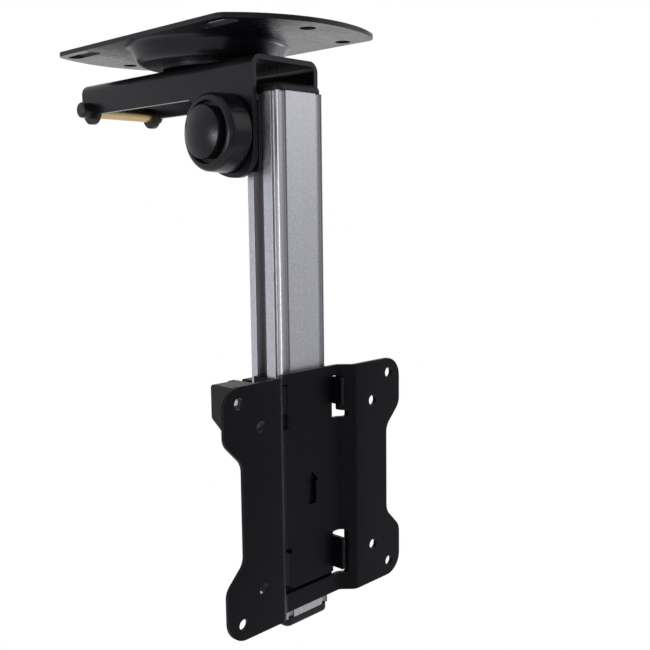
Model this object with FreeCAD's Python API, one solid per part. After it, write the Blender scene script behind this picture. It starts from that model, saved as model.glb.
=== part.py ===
import FreeCAD, Part
import math
import os

# Fold-down ceiling bracket for a small flat screen. Millimetres, +Z up, X across.
# The screen faces -Y, and the arms of the hinge bracket run back along +Y.
# The origin is the centre of the ceiling plate's top face, on the swivel axis.

# Clearances
TURN_FIT = 0.05  # radial play of a bore on the bolt or pin that it turns on
SLIDE_GAP = 0.4  # play of the carriage's cheeks beside the column
FACE_GAP = 0.2  # play of the carriage's web before the column
RUB_GAP = 0.1  # play of a washer face that rubs on its neighbour
NUT_GAP = 0.3  # play of a slot nut in its slot
YOKE_GAP = 0.2  # fit of the hinge yoke on the column
PEG_GAP = 0.1  # fit of an end cap's peg in the column
HEAD_GAP = 0.3  # play of a screw head in its counterbore, radial
WINDOW_GAP = 0.6  # lower tab to the inner side of its window
PAWL_GAP = 0.4  # play of the pawl in the latch housing, each side
PAWL_BAR_GAP = 0.5  # play of the closed pawl round the latch bar
LATCH_BAR_GAP = 0.6  # latch housing below the latch bar when folded up

# Ceiling plate
PLATE_W = 87.5
PLATE_L = 164.4
PLATE_T = 2.2
PLATE_END_R = 70.0
PLATE_END_SKEW = 7.0  # middle of each bowed end off the centre line, to opposite sides
PLATE_CORNER_R = 7.0
DISH_MARGIN = 3.5  # flat left between the dish and a straight edge
DISH_SLOPE = 5.0  # run of the dish's sloping wall
DISH_DEPTH = 9.0
DISH_BEND_R = 3.0
CEILING_SLOT_L = 25.0
CEILING_SLOT_W = 7.0
CEILING_HOLE_D = 7.5
CEILING_SIDE_INSET = 7.75  # side rows of fixings from the straight edges
CEILING_ROW_INSET = 17.67  # side fixings from the bowed ends
CEILING_END_INSET = 12.2  # middle holes from the bowed ends

# Swivel stack
SWIVEL_D = 12.0
SWIVEL_HEX_AF = 18.0
SWIVEL_HEAD_H = 6.0
SWIVEL_NUT_H = 8.0
SWIVEL_COLLAR_R = 8.0
SWIVEL_COLLAR_H = 2.0
SWIVEL_TAIL = 3.5
SWIVEL_DISC_R = 23.5
SWIVEL_DISC_T = 2.0
SWIVEL_BUSH_WALL = 1.5
SWIVEL_WASHER_R = 15.0
SWIVEL_WASHER_T = 2.0
SWIVEL_SPRING_R = 10.5
SWIVEL_SPRING_T = 1.8
HEX_SHOULDER = 0.4  # round end face of a hexagon inside its flats
HEX_CHAMFER = 30.0  # degrees between a hexagon's end face and its chamfer

# Hinge bracket
BRACKET_T = 2.5
BRACKET_BEND_R = 2.5
BRACKET_FRONT = 55.4  # front edge ahead of the swivel axis
BRACKET_REAR = 87.0  # rear edge behind the swivel axis
FLANGE_H = 16.6
EAR_REAR = 24.5  # rear edge of the ear behind the pivot
EAR_DROP = 20.5  # lower edge of the ear below the pivot
EAR_FRONT_R = 12.0
EAR_REAR_R = 29.0
EAR_STEP_R = 6.0
LOBE_R = 7.5

# Pivot of the fold
PIVOT_AHEAD = 38.0  # pivot ahead of the swivel axis
PIVOT_DROP = 47.7  # pivot below the ceiling
PIVOT_D = 8.0
PIVOT_HEAD_R = 9.5
PIVOT_HEAD_EDGE = 0.8
PIVOT_HEAD_DOME = 4.2
PIVOT_TAIL = 6.0  # bolt thread beyond the knob's washer
KNOB_WASHER_R = 12.0
KNOB_WASHER_T = 1.0
RUB_WASHER_R = 12.5
RUB_WASHER_T = 1.7

# Tension knob
KNOB_BASE_R = 18.3
KNOB_RIM_R = 17.6
KNOB_LIP_R = 14.3
KNOB_L = 12.2
KNOB_ROUND = 0.8
KNOB_SHOULDER_R = 3.0
KNOB_RECESS = 3.2
KNOB_CAP_R = 12.0
KNOB_CAP_RISE = 5.9  # straight edge of the cap above the recess
KNOB_CAP_DOME = 2.8
KNOB_CAP_SEAT = 1.5
KNOB_INSERT_AF = 13.0
KNOB_INSERT_L = 5.5

# Latch bar between the arms
BAR_INSET = 8.0  # ahead of the arms' rear edge
BAR_DROP = 27.5  # below the ceiling
BAR_D = 8.0
BAR_SCREW_D = 5.0
BAR_HEAD_R = 4.2
BAR_HEAD_H = 6.5
BAR_HEAD_ROUND = 1.2
BAR_NUT_AF = 8.0
BAR_NUT_H = 4.0
BAR_TAIL = 1.0

# Column extrusion
COLUMN_W = 28.6
COLUMN_D = 22.5
COLUMN_L = 249.5
COLUMN_HEAD = 18.0  # column's top above the pivot
COLUMN_BACKSET = 4.5  # pivot behind the column's back face
COLUMN_WALL = 2.0
COLUMN_CORNER_R = 1.2
CORE_CORNER_R = 1.0
TSLOT_FROM_FRONT = 14.3  # slot centre behind the front face
TSLOT_W = 6.8
TSLOT_LIP = 1.6
TSLOT_INNER_W = 10.4
TSLOT_DEPTH = 4.8
GROOVE_DEPTH = 1.3
FRONT_GROOVE_X = 11.5  # centre of a front groove from the column's middle
FRONT_GROOVE_W = 3.8
SIDE_GROOVE_Y = 3.6  # centre of a side groove behind the front face
SIDE_GROOVE_W = 2.8
CAP_T = {"top": 4.0, "bottom": 4.6}
CAP_ROUND = {"top": 3.0, "bottom": 2.0}
CAP_CORNER_R = 3.5
CAP_PEG_L = 8.0

# Hinge yoke on the column
YOKE_T = 2.2
YOKE_TOP = 14.0  # above the pivot
YOKE_FOOT = 18.0  # below the pivot
YOKE_FRONT = 3.5  # ahead of the slot's centre
YOKE_FRONT_R = 1.0
YOKE_REAR_R = 10.0
YOKE_BRIDGE_H = 9.0
YOKE_BUSH_WALL = 1.5
YOKE_SCREW_D = 4.0
YOKE_SCREW_HEAD_D = 6.0
YOKE_SCREW_UP = 8.0
YOKE_SCREW_DOWN = 12.0
YOKE_NUT_L = 30.0
SLOT_NUT_T = 2.4

# Screen plate
SCREEN_RISE = 63.5  # hole pattern's centre above the column's foot
VESA_LARGE = 100.0
VESA_SMALL = 75.0
VESA_HOLE_D = 5.2
SCREEN_T = 2.0
SCREEN_BEND_R = 2.5
SCREEN_SIDE_EDGE = 8.5  # plate beyond the large hole pattern, sideways
SCREEN_END_EDGE = 7.4  # plate beyond the large hole pattern, up and down
SCREEN_WAIST_DEPTH = 10.2
SCREEN_LOBE_H = 24.5  # straight height of each corner lobe
SCREEN_SLOPE_H = 10.5  # height of the slope from lobe to waist
SCREEN_CORNER_R = 10.0
SCREEN_SLOPE_R = 8.0
RECESS_DEPTH = 6.0
RECESS_FLOOR_SIDE = 1.8  # recess floor beyond the carriage, each side
RECESS_SLOPE = 5.9  # run of the recess's sloping wall
ARROW_TIP = 8.0
ARROW_TAIL = 8.2
ARROW_HEAD_H = 5.0
ARROW_HEAD_W = 9.2
ARROW_STEM_W = 5.2
CUT_ROUND = 0.8  # corner radius of the small cut-outs
HOOK_SLOT_INSET = 5.1  # slot's top below the plate's edge
HOOK_SLOT_L = 20.8
HOOK_SLOT_W = 4.4
HOOK_TOE_H = 3.2
HOOK_TOE_W = 3.4
WINDOW_INSET = 9.0  # window above the plate's lower edge
WINDOW_H = 22.4
WINDOW_SIDE = 5.1  # window beyond its tab, outwards

# Carriage
CARRIER_T = 1.8
CARRIER_BEND_R = 0.6
CARRIER_TOP_INSET = 3.4  # carriage's top below the plate's edge
CARRIER_FOOT_INSET = 4.4  # carriage's foot above the plate's edge
CARRIER_CHEEK_D = 20.0
TAB_REACH = {"left": 3.2, "right": 7.8}  # tabs ahead of the carriage's web
UPPER_TAB_L = 13.1
LOWER_TAB_L = 16.0
LOWER_TAB_INSET = 2.3  # lower tabs below the window's top
CLAMP_SCREW_D = 5.0
CLAMP_HEAD_D = 9.0
CLAMP_HEAD_H = 2.8
CLAMP_HEAD_ROUND = 1.9
CLAMP_SOCKET_AF = 3.0
CLAMP_SOCKET_H = 1.7
CLAMP_SCREW_Z = 34.0  # above and below the pattern's centre
CLAMP_NUT_L = 16.0

# Latch on the column's back
LATCH_SIDE_GAP = 0.5  # housing between the arms when folded up, each side
LATCH_D = 26.5
LATCH_H = 25.4
LATCH_CHAMFER_Y = 11.0
LATCH_CHAMFER_Z = 8.0
LATCH_EDGE_R = 2.0
LATCH_WALL = 3.0
LATCH_SCREW_EDGE = 0.5  # metal left between a latch screw and the side slot
LATCH_SCREW_D = 4.0
LATCH_HEAD_D = 6.6
LATCH_HEAD_H = 3.0
LATCH_SOCKET_AF = 3.0
LATCH_SOCKET_H = 1.8
LATCH_FLOOR = 7.0  # housing left under the screw heads
LATCH_THREAD = 4.5
PAWL_T = 4.0
PAWL_PIN_D = 4.0
PAWL_PIN_Y = 8.0  # pin behind the column's back face
PAWL_PIN_DROP = 6.4  # pin below the housing's top
PAWL_OPEN = 15.0  # degrees that the pawl hangs open at rest
PAWL_SHANK_H = 4.6
PAWL_EYE_R = 4.4
PAWL_TOOTH_T = 3.6
PAWL_TOOTH_RISE = 0.8  # tooth's tip above the bar's centre
PAWL_HEEL_R = 2.5
PAWL_TIP_R = 0.5
PAWL_TRIGGER_L = 20.0
PAWL_TRIGGER_T = 3.2

# Places worked out from the sizes
DISH_TOP_R = PLATE_W / 2 - DISH_MARGIN
DISH_FLOOR_R = DISH_TOP_R - DISH_SLOPE
DISH_BOTTOM = -PLATE_T - DISH_DEPTH
END_CENTRE_Y = PLATE_L / 2 - PLATE_END_R
CEILING_ROW_X = PLATE_W / 2 - CEILING_SIDE_INSET
CEILING_END_Y = PLATE_L / 2 - CEILING_END_INSET
WEB_TOP = DISH_BOTTOM - SWIVEL_DISC_T
WEB_BOTTOM = WEB_TOP - BRACKET_T
YOKE_IN = COLUMN_W / 2 + YOKE_GAP
YOKE_OUT = YOKE_IN + YOKE_T
EAR_IN = YOKE_OUT + RUB_GAP + RUB_WASHER_T
EAR_OUT = EAR_IN + BRACKET_T
PIVOT_Y = -PIVOT_AHEAD
PIVOT_Z = -PIVOT_DROP
BAR_Y = BRACKET_REAR - BAR_INSET
BAR_Z = -BAR_DROP
COLUMN_BACK = PIVOT_Y - COLUMN_BACKSET
COLUMN_FRONT = COLUMN_BACK - COLUMN_D
COLUMN_TOP = PIVOT_Z + COLUMN_HEAD
COLUMN_FOOT = COLUMN_TOP - COLUMN_L
TSLOT_Y = COLUMN_FRONT + TSLOT_FROM_FRONT
TSLOT_FLOOR = COLUMN_W / 2 - TSLOT_DEPTH
VESA_Z = COLUMN_FOOT + SCREEN_RISE
SCREEN_HALF_W = VESA_LARGE / 2 + SCREEN_SIDE_EDGE
SCREEN_HALF_H = VESA_LARGE / 2 + SCREEN_END_EDGE
HOOK_SLOT_HIGH = SCREEN_HALF_H - HOOK_SLOT_INSET
HOOK_SLOT_LOW = HOOK_SLOT_HIGH - HOOK_SLOT_L
WINDOW_LOW = WINDOW_INSET - SCREEN_HALF_H
WINDOW_HIGH = WINDOW_LOW + WINDOW_H
UPPER_TAB_HIGH = HOOK_SLOT_HIGH - SLIDE_GAP
LOWER_TAB_HIGH = WINDOW_HIGH - LOWER_TAB_INSET
CARRIER_TOP = SCREEN_HALF_H - CARRIER_TOP_INSET
CARRIER_FOOT = CARRIER_FOOT_INSET - SCREEN_HALF_H
CARRIER_BACK = COLUMN_FRONT - FACE_GAP
CARRIER_FRONT = CARRIER_BACK - CARRIER_T
SCREEN_FLOOR = CARRIER_FRONT - SCREEN_T
SCREEN_FRONT = SCREEN_FLOOR - RECESS_DEPTH
CHEEK_IN = COLUMN_W / 2 + SLIDE_GAP
CHEEK_OUT = CHEEK_IN + CARRIER_T
RECESS_FLOOR_HALF = CHEEK_OUT + RECESS_FLOOR_SIDE
YOKE_SCREW_HEIGHTS = {"upper": PIVOT_Z + YOKE_SCREW_UP, "lower": PIVOT_Z - YOKE_SCREW_DOWN}
CLAMP_SCREW_HEIGHTS = {"upper": VESA_Z + CLAMP_SCREW_Z, "lower": VESA_Z - CLAMP_SCREW_Z}

# The latch bar as seen from the column once the column is folded up by 90 degrees
FOLDED_BAR_Y = PIVOT_Y + (BAR_Z - PIVOT_Z)
FOLDED_BAR_Z = PIVOT_Z - (BAR_Y - PIVOT_Y)
LATCH_TOP = FOLDED_BAR_Z - BAR_D / 2 - LATCH_BAR_GAP
LATCH_FOOT = LATCH_TOP - LATCH_H
LATCH_BACK = COLUMN_BACK + LATCH_D
LATCH_HALF_W = EAR_IN - LATCH_SIDE_GAP
LATCH_SCREW_X = TSLOT_FLOOR - LATCH_SCREW_D / 2 - LATCH_SCREW_EDGE
LATCH_SCREW_Z = LATCH_TOP - LATCH_H / 2
PIN_Y = COLUMN_BACK + PAWL_PIN_Y
PIN_Z = LATCH_TOP - PAWL_PIN_DROP

V = FreeCAD.Vector
ORIGIN = V(0, 0, 0)
X_AXIS = V(1, 0, 0)
Y_AXIS = V(0, 1, 0)
Z_AXIS = V(0, 0, 1)
PIVOT = V(0, PIVOT_Y, PIVOT_Z)
BAR = V(0, BAR_Y, BAR_Z)
PIN = V(0, PIN_Y, PIN_Z)


def box(x0, x1, y0, y1, z0, z1):
    """Block between two opposite corners."""
    return Part.makeBox(x1 - x0, y1 - y0, z1 - z0, V(x0, y0, z0))


def rod(start, axis, radius, length):
    """Round bar from a start point along an axis."""
    return Part.makeCylinder(radius, length, start, axis)


def cross_rod(centre, x0, x1, radius):
    """Round bar along X through a centre, between two places."""
    return rod(V(x0, centre.y, centre.z), X_AXIS, radius, x1 - x0)


def ring(start, axis, outer, inner, length):
    """Washer, bush or sleeve from a start point along an axis."""
    return rod(start, axis, outer, length).cut(rod(start, axis, inner, length))


def cross_ring(centre, x0, x1, outer, inner):
    """Washer, bush or sleeve along X through a centre, between two places."""
    return cross_rod(centre, x0, x1, outer).cut(cross_rod(centre, x0, x1, inner))


def fuse(shapes):
    """Union of several solids with the seams between coplanar faces removed."""
    return shapes[0].multiFuse(shapes[1:]).removeSplitter()


def mirrored(shape):
    """Mirror image across the middle plane."""
    return shape.mirror(ORIGIN, X_AXIS)


def both_sides(shape):
    return [shape, mirrored(shape)]


def pair(name, shape):
    """Right and left nodes from the right one."""
    return {name + "_right": shape, name + "_left": mirrored(shape)}


def in_xy(z):
    return lambda u, v: V(u, v, z)


def in_xz(y):
    return lambda u, v: V(u, y, v)


def in_yz(x):
    return lambda u, v: V(x, u, v)


def facing(centre):
    """Plane square to Y through a centre, drawn about it."""
    return lambda u, v: V(centre.x + u, centre.y, centre.z + v)


def across(centre, x):
    """Plane square to X, drawn about a centre."""
    return lambda u, v: V(x, centre.y + u, centre.z + v)


def beside(centre):
    """Half plane through an axis along X: u along X, v the radius."""
    return lambda u, v: V(u, centre.y, centre.z + v)


def corner_arc(before, corner, after, radius):
    """Start, crown and end of the arc that rounds one corner."""
    back = (before - corner).normalize()
    ahead = (after - corner).normalize()
    half = back.getAngle(ahead) / 2
    run = radius / math.tan(half)
    middle = (back + ahead).normalize()
    crown = corner + middle * (radius / math.sin(half) - radius)
    return corner + back * run, crown, corner + ahead * run


def rounded_wire(corners, place):
    """Closed wire through (u, v, radius) corners, with an arc where there is a radius."""
    points = [V(u, v, 0) for u, v, radius in corners]
    arcs = []
    for i, (u, v, radius) in enumerate(corners):
        if radius > 0:
            arcs.append(corner_arc(points[i - 1], points[i], points[(i + 1) % len(points)], radius))
        else:
            arcs.append((points[i], None, points[i]))
    edges = []
    for i, (start, crown, end) in enumerate(arcs):
        if crown is not None:
            edges.append(Part.Arc(*[place(p.x, p.y) for p in (start, crown, end)]).toShape())
        following = arcs[(i + 1) % len(arcs)][0]
        if end.distanceToPoint(following) > 1e-6:
            edges.append(Part.makeLine(place(end.x, end.y), place(following.x, following.y)))
    return Part.Wire(edges)


def prism(corners, place, direction):
    """Rounded outline drawn in a plane and extruded."""
    return Part.Face(rounded_wire(corners, place)).extrude(direction)


def turned(corners, place, centre, axis):
    """Rounded outline turned a full turn about an axis."""
    return Part.Face(rounded_wire(corners, place)).revolve(centre, axis, 360)


def rectangle(u0, u1, v0, v1, radius=0.0):
    """Corners of a rectangle that share one corner radius."""
    return [(u0, v0, radius), (u1, v0, radius), (u1, v1, radius), (u0, v1, radius)]


def folded_section(path, thickness, inner_radius):
    """Corners of a bent sheet's section: the path is one face, the sheet lies on its left."""
    normals = []
    for (u0, v0), (u1, v1) in zip(path, path[1:]):
        length = math.hypot(u1 - u0, v1 - v0)
        normals.append(((v0 - v1) / length, (u1 - u0) / length))
    near = []
    far = []
    for i, (u, v) in enumerate(path):
        first = normals[max(i - 1, 0)]
        second = normals[min(i, len(normals) - 1)]
        share = 1 + first[0] * second[0] + first[1] * second[1]
        shift = [thickness * (first[k] + second[k]) / share for k in (0, 1)]
        bend = first[0] * second[1] - first[1] * second[0]
        radii = (0.0, 0.0)
        if bend > 1e-9:
            radii = (inner_radius + thickness, inner_radius)
        elif bend < -1e-9:
            radii = (inner_radius, inner_radius + thickness)
        near.append((u, v, radii[0]))
        far.append((u + shift[0], v + shift[1], radii[1]))
    return near + far[::-1]


def hexagon(width, place, direction):
    """Hexagonal prism of a given width across its flats."""
    reach = width / math.sqrt(3)
    angles = [math.radians(60 * k) for k in range(6)]
    return prism([(reach * math.cos(a), reach * math.sin(a), 0) for a in angles], place, direction)


def chamfered_hexagon(width, place, direction):
    """Hexagonal head or nut whose far end is turned down to a flat cone."""
    face = width / 2 - HEX_SHOULDER
    spread = direction.Length / math.tan(math.radians(HEX_CHAMFER))
    cone = Part.makeCone(face + spread, face, direction.Length, place(0, 0), direction)
    return hexagon(width, place, direction).common(cone)


def domed_drum(centre, base, shoulder, radius, rise):
    """Short drum along X from its base to its shoulder, closed there by a spherical dome."""
    outward = math.copysign(1, shoulder - base)
    ball_r = radius ** 2 / (2 * rise) + rise / 2
    half = math.asin(radius / ball_r) / 2
    peak = shoulder + outward * rise
    crest = peak - outward * ball_r * (1 - math.cos(half))
    place = beside(centre)
    points = [place(*p) for p in ((peak, 0), (base, 0), (base, radius), (shoulder, radius))]
    edges = [Part.makeLine(a, b) for a, b in zip(points, points[1:])]
    edges.append(Part.Arc(points[3], place(crest, ball_r * math.sin(half)), points[0]).toShape())
    return Part.Face(Part.Wire(edges)).revolve(centre, X_AXIS, 360)


def bowed_end_y(x, side):
    """Place along the plate of its front (-1) or rear (1) bowed end, at a place across it."""
    from_middle = x + side * PLATE_END_SKEW
    return side * (END_CENTRE_Y + math.sqrt(PLATE_END_R ** 2 - from_middle ** 2))


def ceiling_outline(low, high):
    """Solid of the plate's outline: straight sides, skewed bowed ends, rounded corners."""
    half_w, half_l = PLATE_W / 2, PLATE_L / 2
    signs = ((1, 1), (-1, 1), (-1, -1), (1, -1))
    corners = [V(sx * half_w, bowed_end_y(sx * half_w, sy), low) for sx, sy in signs]
    edges = [
        Part.Arc(corners[0], V(-PLATE_END_SKEW, half_l, low), corners[1]).toShape(),
        Part.makeLine(corners[1], corners[2]),
        Part.Arc(corners[2], V(PLATE_END_SKEW, -half_l, low), corners[3]).toShape(),
        Part.makeLine(corners[3], corners[0]),
    ]
    outline = Part.Face(Part.Wire(edges)).extrude(V(0, 0, high - low))
    upright = [e for e in outline.Edges if e.BoundBox.ZLength > (high - low) / 2]
    return outline.makeFillet(PLATE_CORNER_R, upright)


def ceiling_plate():
    """Pressed plate with bowed ends, a round dish pressed down in its middle, slots and holes."""
    reach = math.hypot(PLATE_W, PLATE_L)
    under = [(0, DISH_BOTTOM), (DISH_FLOOR_R, DISH_BOTTOM), (DISH_TOP_R, -PLATE_T), (reach, -PLATE_T)]
    sheet = turned(folded_section(under, PLATE_T, DISH_BEND_R), in_xz(0), ORIGIN, Z_AXIS)
    low = DISH_BOTTOM - PLATE_T
    plate = sheet.common(ceiling_outline(low, -low))
    half_l, half_w = CEILING_SLOT_L / 2, CEILING_SLOT_W / 2
    left = -CEILING_ROW_X
    cuts = [rod(V(0, 0, low), Z_AXIS, SWIVEL_D / 2, -low)]
    for side in (-1, 1):
        y = bowed_end_y(left, side) - side * CEILING_ROW_INSET
        cuts.append(box(left - half_w, left + half_w, y - half_l + half_w, y + half_l - half_w, low, -low))
        for end in (-1, 1):
            cuts.append(rod(V(left, y + end * (half_l - half_w), low), Z_AXIS, half_w, -2 * low))
        hole_y = bowed_end_y(CEILING_ROW_X, side) - side * CEILING_ROW_INSET
        for x, y in ((CEILING_ROW_X, hole_y), (0, side * CEILING_END_Y)):
            cuts.append(rod(V(x, y, low), Z_AXIS, CEILING_HOLE_D / 2, -2 * low))
    return plate.cut(cuts)


def swivel_pieces():
    """Bolt, rubbing disc, bush, washers and locking nut of the swivel."""
    head_z = DISH_BOTTOM + PLATE_T
    washer_z = WEB_BOTTOM - SWIVEL_WASHER_T
    spring_z = washer_z - SWIVEL_SPRING_T
    nut_z = spring_z - SWIVEL_NUT_H
    tail_z = nut_z - SWIVEL_TAIL
    radius = SWIVEL_D / 2
    head = chamfered_hexagon(SWIVEL_HEX_AF, in_xy(head_z), V(0, 0, SWIVEL_HEAD_H))
    nut = fuse([
        chamfered_hexagon(SWIVEL_HEX_AF, in_xy(spring_z), V(0, 0, SWIVEL_COLLAR_H - SWIVEL_NUT_H)),
        rod(V(0, 0, nut_z), Z_AXIS, SWIVEL_COLLAR_R, SWIVEL_COLLAR_H),
    ])
    bush_r = radius + SWIVEL_BUSH_WALL
    return {
        "swivel_bolt": fuse([head, rod(V(0, 0, tail_z), Z_AXIS, radius, head_z - tail_z)]),
        "swivel_disc": ring(V(0, 0, WEB_TOP), Z_AXIS, SWIVEL_DISC_R, radius, SWIVEL_DISC_T),
        "swivel_bush": ring(V(0, 0, WEB_BOTTOM), Z_AXIS, bush_r, radius + TURN_FIT, BRACKET_T),
        "swivel_washer": ring(V(0, 0, washer_z), Z_AXIS, SWIVEL_WASHER_R, radius, SWIVEL_WASHER_T),
        "swivel_spring_washer": ring(V(0, 0, spring_z), Z_AXIS, SWIVEL_SPRING_R, radius, SWIVEL_SPRING_T),
        "swivel_nut": nut.cut(rod(V(0, 0, nut_z), Z_AXIS, radius, SWIVEL_NUT_H)),
    }


def hinge_bracket():
    """Folded channel, open below: long arms, ears round the pivot and lobes for the latch bar."""
    low = PIVOT_Z - EAR_DROP
    front, rear = -BRACKET_FRONT, BRACKET_REAR
    path = [(EAR_OUT, low), (EAR_OUT, WEB_TOP), (-EAR_OUT, WEB_TOP), (-EAR_OUT, low)]
    section = folded_section(path, BRACKET_T, BRACKET_BEND_R)
    channel = prism(section, in_xz(front), V(0, rear - front, 0))
    edge_z = WEB_TOP - FLANGE_H
    ear_rear = PIVOT_Y + EAR_REAR
    side = [
        (front, WEB_TOP, 0),
        (front, low, EAR_FRONT_R),
        (ear_rear, low, EAR_REAR_R),
        (ear_rear, edge_z, EAR_STEP_R),
        (rear, edge_z, 0),
        (rear, WEB_TOP, 0),
    ]
    outline = prism(side, in_yz(-EAR_OUT), V(2 * EAR_OUT, 0, 0))
    lobes = both_sides(cross_rod(BAR, EAR_IN, EAR_OUT, LOBE_R))
    neck = PIVOT_D / 2 + TURN_FIT
    cuts = [
        rod(V(0, 0, WEB_BOTTOM), Z_AXIS, SWIVEL_D / 2 + SWIVEL_BUSH_WALL, BRACKET_T),
        cross_rod(PIVOT, -EAR_OUT, 0, neck),
        box(0, EAR_OUT, PIVOT_Y - neck, PIVOT_Y + neck, PIVOT_Z - neck, PIVOT_Z + neck),
        cross_rod(BAR, -EAR_OUT, EAR_OUT, BAR_SCREW_D / 2),
    ]
    return fuse([channel.common(outline)] + lobes).cut(cuts)


def latch_bar_pieces():
    """Plated spacer bar between the arms, held by a long screw and a nut."""
    radius = BAR_SCREW_D / 2
    face = -EAR_OUT - BAR_HEAD_H
    profile = [(face, 0, 0), (face, BAR_HEAD_R, BAR_HEAD_ROUND), (-EAR_OUT, BAR_HEAD_R, 0), (-EAR_OUT, 0, 0)]
    head = turned(profile, beside(BAR), BAR, X_AXIS)
    nut_end = EAR_OUT + BAR_NUT_H
    nut = chamfered_hexagon(BAR_NUT_AF, across(BAR, EAR_OUT), V(BAR_NUT_H, 0, 0))
    return {
        "latch_bar": cross_ring(BAR, -EAR_IN, EAR_IN, BAR_D / 2, radius),
        "latch_bar_screw": fuse([head, cross_rod(BAR, -EAR_OUT, nut_end + BAR_TAIL, radius)]),
        "latch_bar_nut": nut.cut(cross_rod(BAR, EAR_OUT, nut_end, radius)),
    }


def pivot_pieces():
    """Coach bolt of the fold with its washers; its square neck sits in the right ear."""
    radius = PIVOT_D / 2
    bore = radius + TURN_FIT
    washer_x = -EAR_OUT - KNOB_WASHER_T
    head = domed_drum(PIVOT, EAR_OUT, EAR_OUT + PIVOT_HEAD_EDGE, PIVOT_HEAD_R, PIVOT_HEAD_DOME)
    neck = box(EAR_IN, EAR_OUT, PIVOT_Y - radius, PIVOT_Y + radius, PIVOT_Z - radius, PIVOT_Z + radius)
    nodes = {
        "pivot_bolt": fuse([head, neck, cross_rod(PIVOT, washer_x - PIVOT_TAIL, EAR_OUT, radius)]),
        "knob_washer": cross_ring(PIVOT, washer_x, -EAR_OUT, KNOB_WASHER_R, bore),
    }
    rub = cross_ring(PIVOT, YOKE_OUT + RUB_GAP, EAR_IN, RUB_WASHER_R, bore)
    nodes.update(pair("friction_washer", rub))
    return nodes


def knob_pieces():
    """Bell-shaped tension knob with a recessed face, a domed cap and a threaded hexagon insert."""
    base = -EAR_OUT - KNOB_WASHER_T - RUB_GAP
    rim = base - KNOB_L
    floor = rim + KNOB_RECESS
    body = turned([
        (base, 0, 0),
        (base, KNOB_BASE_R, KNOB_ROUND),
        (rim, KNOB_RIM_R, KNOB_SHOULDER_R),
        (rim, KNOB_LIP_R, 0),
        (floor, KNOB_LIP_R, KNOB_ROUND),
        (floor, 0, 0),
    ], beside(PIVOT), PIVOT, X_AXIS)
    seat = cross_rod(PIVOT, floor, floor + KNOB_CAP_SEAT, KNOB_CAP_R)
    insert = hexagon(KNOB_INSERT_AF, across(PIVOT, base - KNOB_INSERT_L), V(KNOB_INSERT_L, 0, 0))
    through = cross_rod(PIVOT, rim, base, PIVOT_D / 2 + TURN_FIT)
    shoulder = floor - KNOB_CAP_RISE
    return {
        "tension_knob": body.cut([seat, insert, through]),
        "knob_cap": domed_drum(PIVOT, floor + KNOB_CAP_SEAT, shoulder, KNOB_CAP_R, KNOB_CAP_DOME),
        "knob_insert": insert.cut(through),
    }


def tslot_corners(side):
    """Section of one side slot: mouth between the lips, then the wider chamber."""
    face = side * COLUMN_W / 2
    lip = face - side * TSLOT_LIP
    deep = side * TSLOT_FLOOR
    mouth, chamber = TSLOT_W / 2, TSLOT_INNER_W / 2
    front = [(face, -mouth), (lip, -mouth), (lip, -chamber), (deep, -chamber)]
    back = [(x, -y) for x, y in reversed(front)]
    return [(x, TSLOT_Y + y, 0) for x, y in front + back]


def core_corners(gap):
    """Section of the hollow in the middle of the column, or of a peg that fits it."""
    half = TSLOT_FLOOR - COLUMN_WALL - gap
    front = COLUMN_FRONT + GROOVE_DEPTH + COLUMN_WALL + gap
    return rectangle(-half, half, front, COLUMN_BACK - COLUMN_WALL - gap, CORE_CORNER_R)


def groove(x, y, half_x, half_y):
    """Section of a shallow round-cornered groove about a point on the column's face."""
    return rectangle(x - half_x, x + half_x, y - half_y, y + half_y, min(half_x, half_y) / 2)


def column():
    """Extruded column: side slots, grooves and beads at the front corners, hollow core."""
    half = COLUMN_W / 2
    outlines = [core_corners(0)]
    for side in (-1, 1):
        outlines.append(tslot_corners(side))
        outlines.append(groove(side * FRONT_GROOVE_X, COLUMN_FRONT, FRONT_GROOVE_W / 2, GROOVE_DEPTH))
        outlines.append(groove(side * half, COLUMN_FRONT + SIDE_GROOVE_Y, GROOVE_DEPTH, SIDE_GROOVE_W / 2))
    length = V(0, 0, COLUMN_L)
    cuts = [prism(corners, in_xy(COLUMN_FOOT), length) for corners in outlines]
    for x in (-LATCH_SCREW_X, LATCH_SCREW_X):
        start = V(x, COLUMN_BACK - LATCH_THREAD, LATCH_SCREW_Z)
        cuts.append(rod(start, Y_AXIS, LATCH_SCREW_D / 2, LATCH_THREAD))
    outer = rectangle(-half, half, COLUMN_FRONT, COLUMN_BACK, COLUMN_CORNER_R)
    return prism(outer, in_xy(COLUMN_FOOT), length).cut(cuts)


def end_cap(end, face_z, outward):
    """Moulded cap on one end of the column, with a peg that plugs into the hollow core."""
    half = COLUMN_W / 2
    outer = rectangle(-half, half, COLUMN_FRONT, COLUMN_BACK, CAP_CORNER_R)
    end_z = face_z + outward * CAP_T[end]
    cap = prism(outer, in_xy(face_z), V(0, 0, end_z - face_z))
    rim = [e for e in cap.Edges if abs(e.BoundBox.ZMin - end_z) + abs(e.BoundBox.ZMax - end_z) < 0.01]
    peg = prism(core_corners(PEG_GAP), in_xy(face_z), V(0, 0, -outward * CAP_PEG_L))
    return fuse([cap.makeFillet(CAP_ROUND[end], rim), peg])


def countersunk_screw(z, tip):
    """Flat-headed screw through the right cheek of the yoke, down to a depth."""
    head_r, radius = YOKE_SCREW_HEAD_D / 2, YOKE_SCREW_D / 2
    neck = YOKE_OUT - (head_r - radius)
    cone = Part.makeCone(radius, head_r, YOKE_OUT - neck, V(neck, TSLOT_Y, z), X_AXIS)
    return fuse([cone, cross_rod(V(0, TSLOT_Y, z), tip, neck, radius)])


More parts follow.
